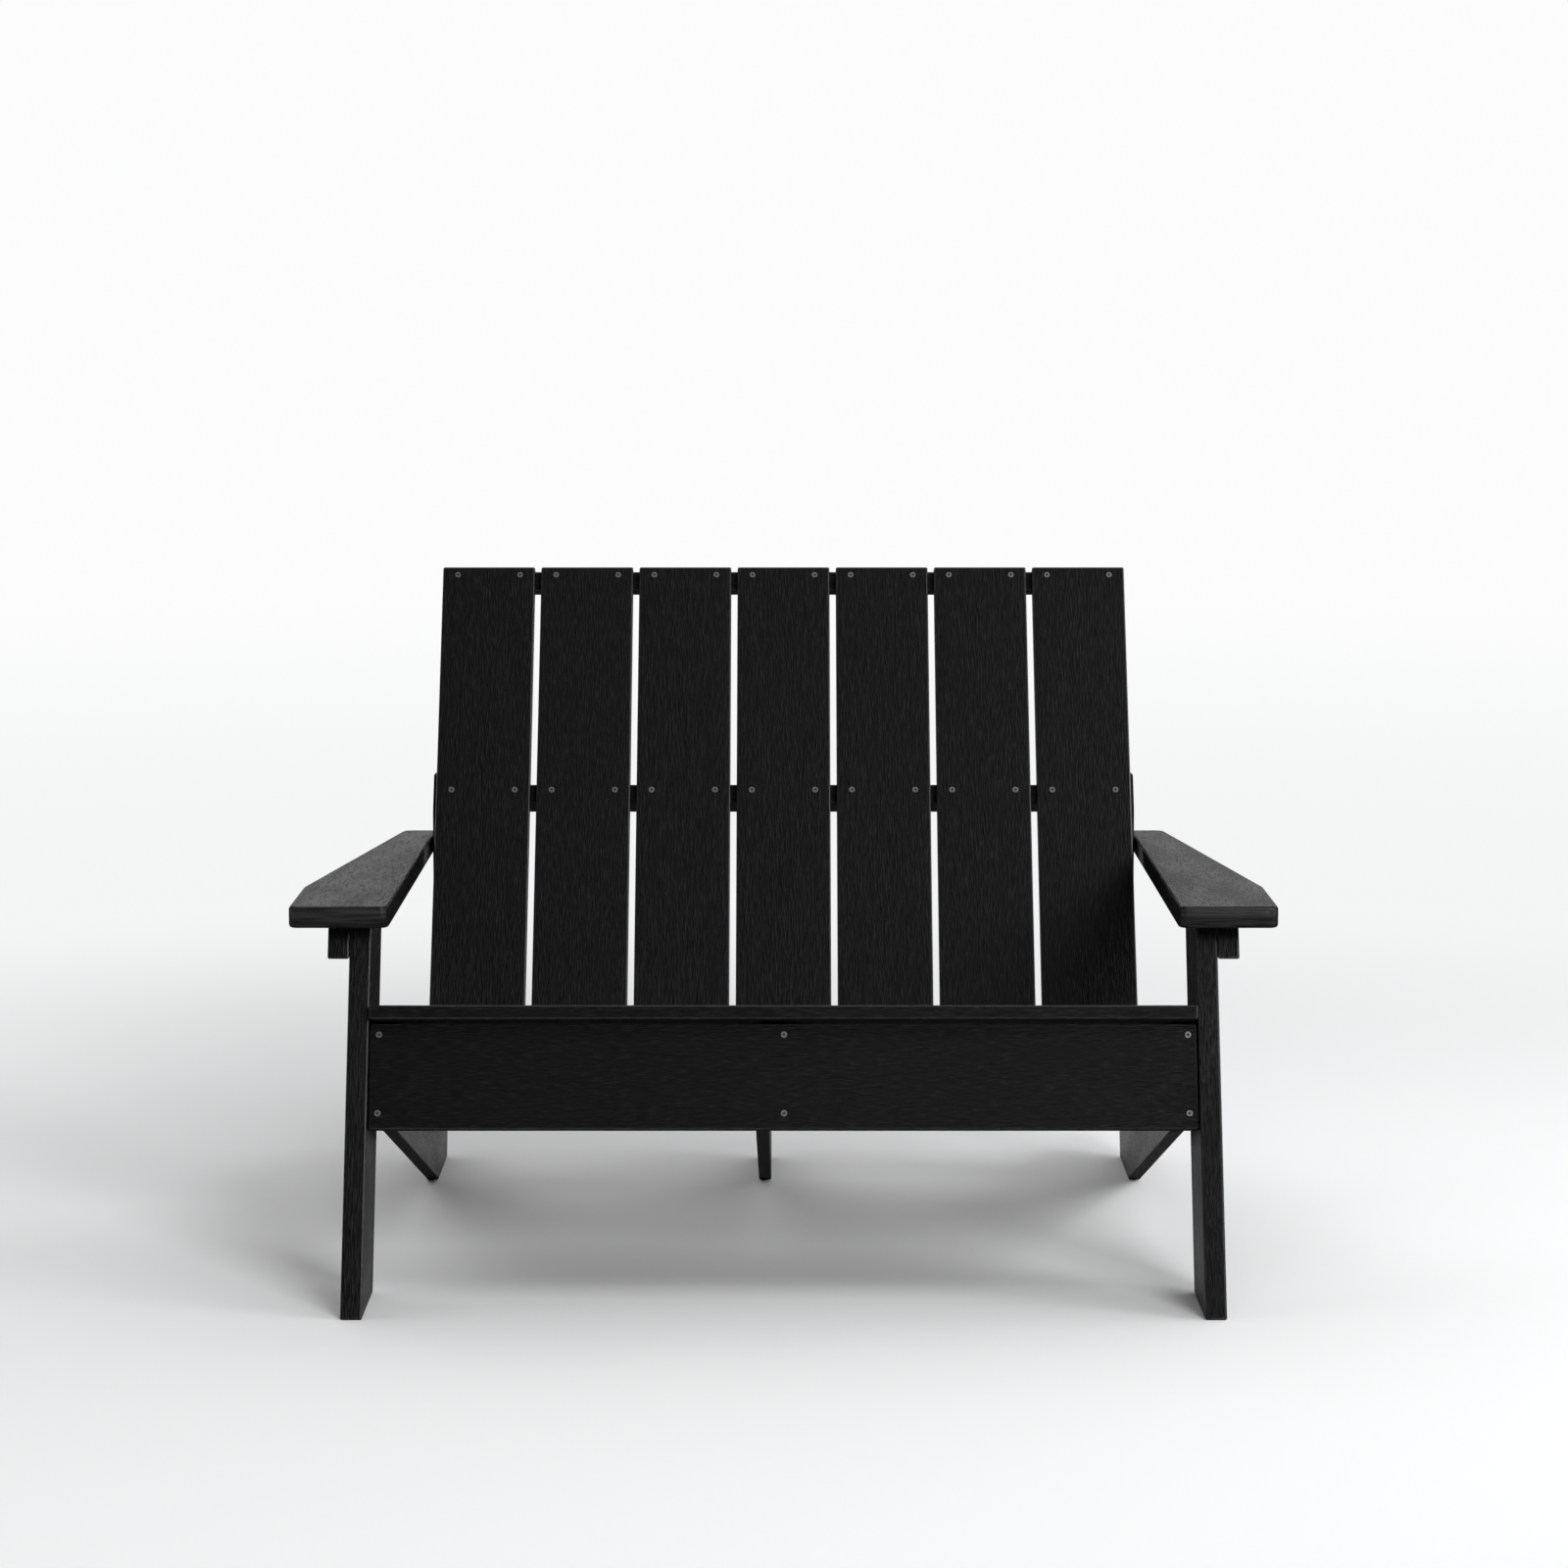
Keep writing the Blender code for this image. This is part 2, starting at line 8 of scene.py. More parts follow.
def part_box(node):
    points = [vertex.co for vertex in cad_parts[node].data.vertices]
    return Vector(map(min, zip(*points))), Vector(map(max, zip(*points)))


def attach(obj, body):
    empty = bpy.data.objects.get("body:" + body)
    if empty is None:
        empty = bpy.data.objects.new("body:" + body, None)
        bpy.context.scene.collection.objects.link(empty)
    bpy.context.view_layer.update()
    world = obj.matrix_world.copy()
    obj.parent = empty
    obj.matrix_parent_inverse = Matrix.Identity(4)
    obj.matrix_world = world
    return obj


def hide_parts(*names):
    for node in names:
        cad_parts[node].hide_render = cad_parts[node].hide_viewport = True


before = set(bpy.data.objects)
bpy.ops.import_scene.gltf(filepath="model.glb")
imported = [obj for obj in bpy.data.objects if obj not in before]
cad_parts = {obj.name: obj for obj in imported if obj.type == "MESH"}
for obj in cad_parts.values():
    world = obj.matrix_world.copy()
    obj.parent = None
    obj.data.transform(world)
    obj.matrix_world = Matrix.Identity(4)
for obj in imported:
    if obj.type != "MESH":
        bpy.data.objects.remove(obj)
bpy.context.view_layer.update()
print("frame loaded:", len(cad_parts), "nodes")

# Directions that the boards follow
seatSlope = math.radians(18)
backLean = math.radians(26)
legLean = math.radians(19)
acrossWay = Vector((1, 0, 0))
upWay = Vector((0, 0, 1))
rearWay = Vector((0, 1, 0))
seatWay = Vector((0, math.cos(seatSlope), -math.sin(seatSlope)))  # down the seat to the rear
seatUp = Vector((0, math.sin(seatSlope), math.cos(seatSlope)))
backWay = Vector((0, math.sin(backLean), math.cos(backLean)))  # up the back
backFront = Vector((0, -math.cos(backLean), math.sin(backLean)))  # out of the back, at the sitter
legWay = Vector((0, math.sin(legLean), math.cos(legLean)))


# Small helpers for node trees
def addNode(tree, kind, settings=None, **inputs):
    made = tree.nodes.new(kind)
    for name, value in (settings or {}).items():
        setattr(made, name, value)
    for name, value in inputs.items():
        feed(tree, value, made.inputs[name.replace("_", " ")])
    return made


def feed(tree, value, socket):
    if isinstance(value, bpy.types.NodeSocket):
        tree.links.new(value, socket)
    else:
        socket.default_value = value


def maths(tree, operation, *values):
    made = addNode(tree, "ShaderNodeMath", {"operation": operation})
    for index, value in enumerate(values):
        feed(tree, value, made.inputs[index])
    return made.outputs[0]


def vectorMaths(tree, operation, *values, result="Vector"):
    made = addNode(tree, "ShaderNodeVectorMath", {"operation": operation})
    for index, value in enumerate(values):
        feed(tree, value, made.inputs[index])
    return made.outputs[result]


def split(tree, vector):
    return addNode(tree, "ShaderNodeSeparateXYZ", Vector=vector).outputs


def join(tree, **parts):
    return addNode(tree, "ShaderNodeCombineXYZ", **parts).outputs[0]


def ramp(tree, value, low, high, toLow=0.0, toHigh=1.0, shape="SMOOTHSTEP"):
    made = addNode(tree, "ShaderNodeMapRange", {"interpolation_type": shape})
    for index, item in enumerate((value, low, high, toLow, toHigh)):
        feed(tree, item, made.inputs[index])
    return made.outputs[0]


def noise(tree, vector, scale=1.0, detail=2.0, roughness=0.5):
    made = addNode(
        tree, "ShaderNodeTexNoise", {"noise_type": "FBM"},
        Vector=vector, Scale=scale, Detail=detail, Roughness=roughness,
    )
    return made.outputs[0]


def mixColour(tree, factor, first, second):
    made = addNode(tree, "ShaderNodeMix", {"data_type": "RGBA"})
    for index, value in ((0, factor), (6, first), (7, second)):  # its colour sockets
        feed(tree, value, made.inputs[index])
    return made.outputs[2]


def mixValue(tree, factor, first, second):
    made = tree.nodes.new("ShaderNodeMix")
    for index, value in ((0, factor), (2, first), (3, second)):  # its number sockets
        feed(tree, value, made.inputs[index])
    return made.outputs[0]


def mixShaders(tree, factor, first, second, endKind):
    mix = tree.nodes.new("ShaderNodeMixShader")
    for index, value in enumerate((factor, first.outputs[0], second.outputs[0])):
        feed(tree, value, mix.inputs[index])
    feed(tree, mix.outputs[0], tree.nodes.new(endKind).inputs["Surface"])


def shaderGroup(name, inputs, outputs):
    tree = bpy.data.node_groups.new(name, "ShaderNodeTree")
    kinds = {"value": "NodeSocketFloat", "vector": "NodeSocketVector"}
    for label, (kind, default) in inputs.items():
        socket = tree.interface.new_socket(label, in_out="INPUT", socket_type=kinds[kind])
        socket.default_value = default
    for label, kind in outputs.items():
        tree.interface.new_socket(label, in_out="OUTPUT", socket_type=kinds[kind])
    start = tree.nodes.new("NodeGroupInput")
    end = tree.nodes.new("NodeGroupOutput")
    return tree, start.outputs, end.inputs


def placeGroup(tree, group, **inputs):
    made = addNode(tree, "ShaderNodeGroup", {"node_tree": group}, **inputs)
    return made.outputs


def newMaterial(name):
    material = bpy.data.materials.new(name)
    material.use_nodes = True
    return material, material.node_tree


def feedBump(tree, height, surface):
    bump = addNode(tree, "ShaderNodeBump", Height=height, Distance=1.0, Strength=1.0)
    feed(tree, bump.outputs[0], surface.inputs["Normal"])


# Small helpers for Geometry Nodes, objects and points
def newSockets(tree, direction, kind, *labels):
    for label in labels:
        tree.interface.new_socket(label, in_out=direction, socket_type="NodeSocket" + kind)


def modifierInputs(tree):
    return {item.name: item.identifier for item in tree.interface.items_tree if item.in_out == "INPUT"}


def addObject(name, data):
    made = bpy.data.objects.new(name, data)
    bpy.context.scene.collection.objects.link(made)
    return made


def limits(points):
    low = Vector([min(point[axis] for point in points) for axis in range(3)])
    high = Vector([max(point[axis] for point in points) for axis in range(3)])
    return low, high


# Embossed grain: fine wavy fibres that run along X of the vector, in metres
grainForm = {
    "bendScale": (9.0, 26.0, 26.0),  # slow waves that the fibres follow, along and across them
    "bendMiddle": 0.5,
    "fibreRoughness": 0.62,
    "streakShare": (0.35, 0.3, 0.3),  # of the fibres' scale, so streaks are coarser
    "streakDetail": 1.0,
    "fibreMix": 0.88,
    "streakMix": 0.12,
    "patchScale": (7.0, 24.0, 24.0),
    "groove": (0.5, 0.38),  # heights where a groove starts and where it is full
    "ridge": (0.52, 0.66),
    "seedRatio": 3.7,
}


def makeGrainGroup():
    tree, given, out = shaderGroup(
        "embossed grain",
        {
            "Vector": ("vector", (0, 0, 0)),
            "Seed": ("value", 0.0),
            "Fibre Length": ("value", 0.02),
            "Fibre Width": ("value", 0.0014),
            "Sway": ("value", 0.004),
        },
        {"Height": "value", "Groove": "value", "Ridge": "value", "Patch": "value"},
    )
    further = maths(tree, "MULTIPLY", given["Seed"], grainForm["seedRatio"])
    shift = join(tree, X=further, Y=given["Seed"], Z=given["Seed"])
    place = vectorMaths(tree, "ADD", given["Vector"], shift)
    slow = noise(tree, vectorMaths(tree, "MULTIPLY", place, grainForm["bendScale"]))
    bend = maths(tree, "SUBTRACT", slow, grainForm["bendMiddle"])
    sway = join(tree, Y=maths(tree, "MULTIPLY", bend, given["Sway"]))
    place = vectorMaths(tree, "ADD", place, sway)
    along = maths(tree, "DIVIDE", 1.0, given["Fibre Length"])
    across = maths(tree, "DIVIDE", 1.0, given["Fibre Width"])
    fine = join(tree, X=along, Y=across, Z=across)
    coarse = vectorMaths(tree, "MULTIPLY", fine, grainForm["streakShare"])
    fibre = noise(tree, vectorMaths(tree, "MULTIPLY", place, fine), roughness=grainForm["fibreRoughness"])
    streak = noise(tree, vectorMaths(tree, "MULTIPLY", place, coarse), detail=grainForm["streakDetail"])
    fibrePart = maths(tree, "MULTIPLY", fibre, grainForm["fibreMix"])
    streakPart = maths(tree, "MULTIPLY", streak, grainForm["streakMix"])
    height = maths(tree, "ADD", fibrePart, streakPart)
    patch = noise(tree, vectorMaths(tree, "MULTIPLY", place, grainForm["patchScale"]))
    feed(tree, height, out["Height"])
    feed(tree, ramp(tree, height, *grainForm["groove"]), out["Groove"])
    feed(tree, ramp(tree, height, *grainForm["ridge"]), out["Ridge"])
    feed(tree, patch, out["Patch"])
    return tree


# Cut ends: shallow saw lines that lie flat across the board, stacked through its thickness Z
sawForm = {
    "waveScale": 14.0,  # along each line, per metre
    "lineRoughness": 0.6,
    "upper": (-0.7, 0.9),  # from the lower to the upper edge, in half thicknesses
    "endFacing": (0.6, 0.85),  # how far a face has to look along the board to be a cut end
}


def makeSawGroup():
    tree, given, out = shaderGroup(
        "saw lines",
        {
            "Vector": ("vector", (0, 0, 0)),
            "Normal": ("vector", (0, 0, 1)),
            "Half Size": ("vector", (1, 1, 1)),
            "Seed": ("value", 0.0),
            "Pitch": ("value", 0.004),
            "Crown": ("value", 0.2),
            "Corner": ("value", 0.02),
        },
        {"Height": "value", "Crown": "value", "Upper": "value", "Mask": "value"},
    )
    place = split(tree, given["Vector"])
    facing = split(tree, given["Normal"])
    half = split(tree, given["Half Size"])
    wave = maths(tree, "MULTIPLY", place["Y"], sawForm["waveScale"])
    lines = join(tree, X=wave, Y=given["Seed"], Z=maths(tree, "DIVIDE", place["Z"], given["Pitch"]))
    feed(tree, noise(tree, lines, roughness=sawForm["lineRoughness"]), out["Height"])
    # The blade leaves the end a little crowned, and rounder towards the corners
    over = maths(tree, "MULTIPLY", place["Z"], place["Z"])
    crown = maths(tree, "MULTIPLY", maths(tree, "DIVIDE", over, half["Z"]), given["Crown"])
    inner = maths(tree, "SUBTRACT", half["Y"], given["Corner"])
    past = maths(tree, "SUBTRACT", maths(tree, "ABSOLUTE", place["Y"]), inner)
    past = maths(tree, "MAXIMUM", past, 0.0)
    corner = maths(tree, "DIVIDE", maths(tree, "MULTIPLY", past, past), given["Corner"])
    corner = maths(tree, "MULTIPLY", corner, given["Crown"])
    feed(tree, maths(tree, "MULTIPLY", maths(tree, "ADD", crown, corner), -1.0), out["Crown"])
    level = maths(tree, "DIVIDE", place["Z"], half["Z"])
    feed(tree, ramp(tree, level, *sawForm["upper"]), out["Upper"])
    feed(tree, ramp(tree, maths(tree, "ABSOLUTE", facing["X"]), *sawForm["endFacing"]), out["Mask"])
    return tree


# Rubbed edges: a mask near the edges of a board whose half sizes are given, broken up by noise. The lumber
# uses it for wear and for a painted highlight that lightens the edges.
rubForm = {"speckScale": 90.0, "speckDetail": 4.0, "speckRoughness": 0.65, "speck": (0.42, 0.62)}


def makeEdgeGroup():
    tree, given, out = shaderGroup(
        "rubbed edges",
        {
            "Vector": ("vector", (0, 0, 0)),
            "Half Size": ("vector", (1, 1, 1)),
            "Reach": ("value", 0.004),
            "Seed": ("value", 0.0),
        },
        {"Near": "value", "Mask": "value"},
    )
    room = vectorMaths(tree, "SUBTRACT", given["Half Size"], vectorMaths(tree, "ABSOLUTE", given["Vector"]))
    toEnd, toSide, toFace = split(tree, room)
    lower = maths(tree, "MINIMUM", toEnd, toSide)
    upper = maths(tree, "MAXIMUM", toEnd, toSide)
    second = maths(tree, "MAXIMUM", lower, maths(tree, "MINIMUM", upper, toFace))  # middle of the three
    near = ramp(tree, maths(tree, "DIVIDE", second, given["Reach"]), 0.0, 1.0, 1.0, 0.0)
    shift = join(tree, X=given["Seed"], Y=given["Seed"])
    speck = noise(
        tree, vectorMaths(tree, "ADD", given["Vector"], shift),
        rubForm["speckScale"], rubForm["speckDetail"], rubForm["speckRoughness"],
    )
    feed(tree, near, out["Near"])
    feed(tree, maths(tree, "MULTIPLY", near, ramp(tree, speck, *rubForm["speck"])), out["Mask"])
    return tree


grainGroup = makeGrainGroup()
sawGroup = makeSawGroup()
edgeGroup = makeEdgeGroup()

# Black plastic lumber, sizes in metres
lumber = {
    "colour": (0.0019, 0.0019, 0.002, 1),
    # the grain's colour follows its emboss height: painted shade in the hollows, a painted highlight on the
    # ridges
    "grooveShadeColour": (0.0003, 0.0003, 0.0003, 1),
    "ridgeHighlightColour": (0.0075, 0.0075, 0.0077, 1),
    # machined edges and cut ends are lighter, partly as a painted highlight; the edge specks are wear and
    # partly a painted highlight
    "machinedAndHighlightColour": (0.013, 0.013, 0.0132, 1),  # rounded edges and cut ends
    "rubbedAndHighlightColour": (0.03, 0.03, 0.0302, 1),  # specks on the edges
    "machinedHighlightTint": 0.6,
    "rubbedHighlightTint": 0.6,
    "roughness": (0.38, 0.45),  # changes in patches between these
    "roughPatch": (0.3, 0.7),
    "grooveRoughness": 0.52,
    "sawRoughness": 0.42,
    "machinedRoughness": 0.3,
    "machinedSmooth": 0.8,
    "belowFrom": -0.4,  # faces that look this far down are dull
    "belowRoughness": 0.95,
    "machinedGloss": 0.9,
    "cutGloss": 0.5,
    "coatRoughness": 0.26,
    "specular": 0.11,
    "grainDepth": 0.0019,
    "fibreLength": 0.019,
    "fibreWidth": 0.0022,
    "sway": 0.003,
    "sawDepth": 0.0007,
    "sawPitch": 0.004,
    "sawGroove": (0.55, 0.4),
    "crown": 0.24,
    "crownCorner": 0.02,
    "rubReach": 0.0032,
}


def lumberMaterial(name, board, seed):
    material, tree = newMaterial(name)
    surface = tree.nodes["Principled BSDF"]
    source = tree.nodes.new("ShaderNodeTexCoord")
    turn = board["turn"]
    place = addNode(
        tree, "ShaderNodeMapping",
        Vector=source.outputs["Object"], Rotation=turn.to_euler(), Location=-(turn @ board["centre"]),
    ).outputs[0]
    facing = addNode(
        tree, "ShaderNodeMapping", {"vector_type": "NORMAL"},
        Vector=source.outputs["Normal"], Rotation=turn.to_euler(),
    ).outputs[0]
    grain = placeGroup(
        tree, grainGroup, Vector=place, Seed=seed, Sway=lumber["sway"],
        Fibre_Length=lumber["fibreLength"], Fibre_Width=lumber["fibreWidth"],
    )
    saw = placeGroup(
        tree, sawGroup, Vector=place, Normal=facing, Half_Size=board["half"], Seed=seed,
        Pitch=lumber["sawPitch"], Crown=lumber["crown"], Corner=lumber["crownCorner"],
    )
    edge = placeGroup(
        tree, edgeGroup, Vector=place, Half_Size=board["half"], Reach=lumber["rubReach"], Seed=seed
    )
    # Grain tone: hollows of the embossing are darkened as painted shade, and its ridges are lightened as a
    # painted highlight
    colour = mixColour(tree, grain["Groove"], lumber["colour"], lumber["grooveShadeColour"])
    colour = mixColour(tree, grain["Ridge"], colour, lumber["ridgeHighlightColour"])
    # Painted shade: the saw lines' grooves take the dark groove colour
    sawGroove = ramp(tree, saw["Height"], *lumber["sawGroove"])
    cut = mixColour(tree, sawGroove, lumber["machinedAndHighlightColour"], lumber["grooveShadeColour"])
    colour = mixColour(tree, saw["Mask"], colour, cut)
    # Painted highlight: edges and their specks are lightened all round as if lit, on top of machined finish
    # and wear
    machinedHighlight = maths(tree, "MULTIPLY", edge["Near"], lumber["machinedHighlightTint"])
    colour = mixColour(tree, machinedHighlight, colour, lumber["machinedAndHighlightColour"])
    rubbedHighlight = maths(tree, "MULTIPLY", edge["Mask"], lumber["rubbedHighlightTint"])
    colour = mixColour(tree, rubbedHighlight, colour, lumber["rubbedAndHighlightColour"])
    feed(tree, colour, surface.inputs["Base Color"])
    below = ramp(tree, split(tree, source.outputs["Normal"])["Z"], 0.0, lumber["belowFrom"])
    rough = ramp(tree, grain["Patch"], *lumber["roughPatch"], *lumber["roughness"])
    rough = mixValue(tree, grain["Groove"], rough, lumber["grooveRoughness"])
    rough = mixValue(tree, saw["Mask"], rough, lumber["sawRoughness"])
    smooth = maths(tree, "MULTIPLY", edge["Near"], lumber["machinedSmooth"])
    rough = mixValue(tree, smooth, rough, lumber["machinedRoughness"])
    rough = mixValue(tree, below, rough, lumber["belowRoughness"])
    feed(tree, rough, surface.inputs["Roughness"])
    surface.inputs["Specular IOR Level"].default_value = lumber["specular"]
    cutGloss = maths(tree, "MULTIPLY", saw["Mask"], saw["Upper"])
    cutGloss = maths(tree, "MULTIPLY", cutGloss, lumber["cutGloss"])
    gloss = maths(tree, "MAXIMUM", edge["Near"], cutGloss)
    gloss = maths(tree, "MULTIPLY", gloss, lumber["machinedGloss"])
    gloss = maths(tree, "MULTIPLY", gloss, maths(tree, "SUBTRACT", 1.0, below))
    feed(tree, gloss, surface.inputs["Coat Weight"])
    surface.inputs["Coat Roughness"].default_value = lumber["coatRoughness"]
    grainHeight = maths(tree, "MULTIPLY", grain["Height"], lumber["grainDepth"])
    sawHeight = maths(tree, "MULTIPLY", saw["Height"], lumber["sawDepth"])
    sawHeight = maths(tree, "ADD", sawHeight, saw["Crown"])
    feedBump(tree, mixValue(tree, saw["Mask"], grainHeight, sawHeight), surface)
    return material


# Joins the loose triangles and smooths every edge below the sharp angle
softEdge = {"joinWithin": 0.00001, "sharpFrom": math.radians(62), "flatWeight": 60}


def makeSoftEdgeTree():
    tree = bpy.data.node_groups.new("soft edges", "GeometryNodeTree")
    newSockets(tree, "INPUT", "Geometry", "Geometry")
    newSockets(tree, "OUTPUT", "Geometry", "Geometry")
    newSockets(tree, "INPUT", "Float", "Join Within", "Sharp From")
    given = tree.nodes.new("NodeGroupInput").outputs
    joined = addNode(
        tree, "GeometryNodeMergeByDistance", Geometry=given["Geometry"], Distance=given["Join Within"]
    ).outputs[0]
    smooth = addNode(
        tree, "GeometryNodeSetShadeSmooth", {"domain": "FACE"}, Geometry=joined, Shade_Smooth=True
    ).outputs[0]
    angle = tree.nodes.new("GeometryNodeInputMeshEdgeAngle").outputs[0]
    soft = addNode(
        tree, "FunctionNodeCompare", {"operation": "LESS_THAN"}, A=angle, B=given["Sharp From"]
    ).outputs[0]
    edged = addNode(
        tree, "GeometryNodeSetShadeSmooth", {"domain": "EDGE"}, Geometry=smooth, Shade_Smooth=soft
    ).outputs[0]
    feed(tree, edged, tree.nodes.new("NodeGroupOutput").inputs[0])
    return tree


softEdgeTree = makeSoftEdgeTree()


def soften(board):
    modifier = board.modifiers.new("soft edges", "NODES")
    modifier.node_group = softEdgeTree
    sockets = modifierInputs(softEdgeTree)
    modifier[sockets["Join Within"]] = softEdge["joinWithin"]
    modifier[sockets["Sharp From"]] = softEdge["sharpFrom"]
    flats = board.modifiers.new("flat faces lead", "WEIGHTED_NORMAL")
    flats.keep_sharp = True
    flats.weight = softEdge["flatWeight"]


# Which way each board's grain runs, and which way its wide face looks
boardWays = {
    "back_slat_": (backWay, backFront),
    "back_top_rail": (acrossWay, backFront),
    "back_mid_rail": (acrossWay, backWay),
    "back_lower_rail": (acrossWay, backFront),
    "seat_slat_": (acrossWay, seatUp),
    "front_apron": (acrossWay, -seatWay),
    "apron_cleat_": (seatUp, -seatWay),
    "stringer_": (seatWay, acrossWay),
    "front_leg_": (legWay, acrossWay),
    "arm_bracket_": (legWay, acrossWay),
    "leg_spacer_": (seatWay, acrossWay),
    "rear_post_": (upWay, acrossWay),
    "arm_left": (rearWay, upWay),
    "arm_right": (rearWay, upWay),
}
grainShift = {"seed": 7, "furthest": 40}  # so that no two boards show the same stretch of grain


# A board's own measures: how it is turned, its middle, and half its length, width and thickness
def measure(board, along, face):
    turn = Matrix((along, face.cross(along), face))
    low, high = limits([turn @ vertex.co for vertex in board.data.vertices])
    return {"turn": turn, "centre": turn.transposed() @ ((low + high) / 2), "half": (high - low) / 2}


def dressBoards():
    chance = random.Random(grainShift["seed"])
    measures = {}
    for prefix, (along, face) in boardWays.items():
        for name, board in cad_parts.items():
            if name.startswith(prefix):
                measures[name] = measure(board, along, face)
                shift = chance.uniform(0, grainShift["furthest"])
                board.data.materials.clear()
                board.data.materials.append(lumberMaterial(name + " lumber", measures[name], shift))
                soften(board)
    return measures


boards = dressBoards()
print("boards dressed:", len(boards))


# Steel of screws and bolts
steel = {
    "colour": (0.22, 0.22, 0.222, 1),
    "dullColour": (0.16, 0.16, 0.161, 1),
    # near-black and not metal: painted shade inside the cross recess
    "recessShadeColour": (0.012, 0.012, 0.012, 1),
    "spotScale": 420.0,
    "spotDetail": 3.0,
    "spotRoughness": 0.6,
    "spot": (0.38, 0.66),
    "roughness": (0.46, 0.62),
    "scratchScale": (900.0, 900.0, 2600.0),
    "scratch": (0.3, 0.7),
    "scratchDepth": 0.00002,
    "threadPitch": 0.00125,
    "threadPeak": 0.5,  # of the pitch
    "threadDepth": 0.0003,
}


def steelMaterial(name, colours=("dullColour", "colour"), metallic=1.0, threaded=False):
    material, tree = newMaterial(name)
    surface = tree.nodes["Principled BSDF"]
    place = tree.nodes.new("ShaderNodeTexCoord").outputs["Object"]
    spots = noise(tree, place, steel["spotScale"], steel["spotDetail"], steel["spotRoughness"])
    dull, bright = [steel[colour] for colour in colours]
    colour = mixColour(tree, ramp(tree, spots, *steel["spot"]), dull, bright)
    feed(tree, colour, surface.inputs["Base Color"])
    scratch = noise(tree, vectorMaths(tree, "MULTIPLY", place, steel["scratchScale"]))
    feed(tree, ramp(tree, scratch, *steel["scratch"], *steel["roughness"]), surface.inputs["Roughness"])
    surface.inputs["Metallic"].default_value = metallic
    height = maths(tree, "MULTIPLY", scratch, steel["scratchDepth"])
    if threaded:  # the bolts all lie along X
        turns = maths(tree, "MULTIPLY", split(tree, place)["X"], 1 / steel["threadPitch"])
        thread = maths(tree, "PINGPONG", turns, steel["threadPeak"])
        height = maths(tree, "ADD", height, maths(tree, "MULTIPLY", thread, steel["threadDepth"]))
    feedBump(tree, height, surface)
    return material


screwSteel = steelMaterial("screw steel")
# Painted shade: the cross recess is coloured near-black instead of steel
shadedRecessSteel = steelMaterial("recess painted shade steel", ("recessShadeColour", "recessShadeColour"), metallic=0.0)
boltSteel = steelMaterial("bolt steel")
threadSteel = steelMaterial("thread steel", threaded=True)


# Geometry Nodes: a fastener set at each point, its own Z along the point's direction
def fastenerTree(name, sizes, makeShape):
    tree = bpy.data.node_groups.new(name, "GeometryNodeTree")
    newSockets(tree, "INPUT", "Geometry", "Geometry")
    newSockets(tree, "OUTPUT", "Geometry", "Geometry")
    newSockets(tree, "INPUT", "Float", *sizes, "Turn")
    newSockets(tree, "INPUT", "Int", "Seed")
    newSockets(tree, "INPUT", "Material", "Steel", "Recess Shade Steel")
    given = tree.nodes.new("NodeGroupInput").outputs
    shape = makeShape(tree, given)
    toward = addNode(
        tree, "GeometryNodeInputNamedAttribute", {"data_type": "FLOAT_VECTOR"}, Name="toward"
    ).outputs[0]
    aim = addNode(tree, "FunctionNodeAlignRotationToVector", {"axis": "Z"}, Vector=toward).outputs[0]
    chance = addNode(tree, "FunctionNodeRandomValue", {"data_type": "FLOAT"}, Seed=given["Seed"])
    feed(tree, maths(tree, "MULTIPLY", given["Turn"], -1.0), chance.inputs[2])  # least turn
    feed(tree, given["Turn"], chance.inputs[3])  # most turn
    spin = addNode(tree, "FunctionNodeAxisAngleToRotation", Angle=chance.outputs[1]).outputs[0]
    turn = addNode(
        tree, "FunctionNodeRotateRotation", {"rotation_space": "LOCAL"}, Rotation=aim, Rotate_By=spin
    ).outputs[0]
    placed = addNode(
        tree, "GeometryNodeInstanceOnPoints", Points=given["Geometry"], Instance=shape, Rotation=turn
    ).outputs[0]
    solid = addNode(tree, "GeometryNodeRealizeInstances", Geometry=placed).outputs[0]
    # Everything gets the near-black recess material first, painted shade in the cross recess, and all faces
    # but the recess then get the steel
    recess = addNode(
        tree, "GeometryNodeInputNamedAttribute", {"data_type": "BOOLEAN"}, Name="recess"
    ).outputs[0]
    outer = addNode(tree, "FunctionNodeBooleanMath", {"operation": "NOT"})
    feed(tree, recess, outer.inputs[0])
    dark = addNode(
        tree, "GeometryNodeSetMaterial", Geometry=solid, Material=given["Recess Shade Steel"]
    ).outputs[0]
    coated = addNode(
        tree, "GeometryNodeSetMaterial", Geometry=dark, Selection=outer.outputs[0], Material=given["Steel"]
    ).outputs[0]
    feed(tree, coated, tree.nodes.new("NodeGroupOutput").inputs[0])
    return tree


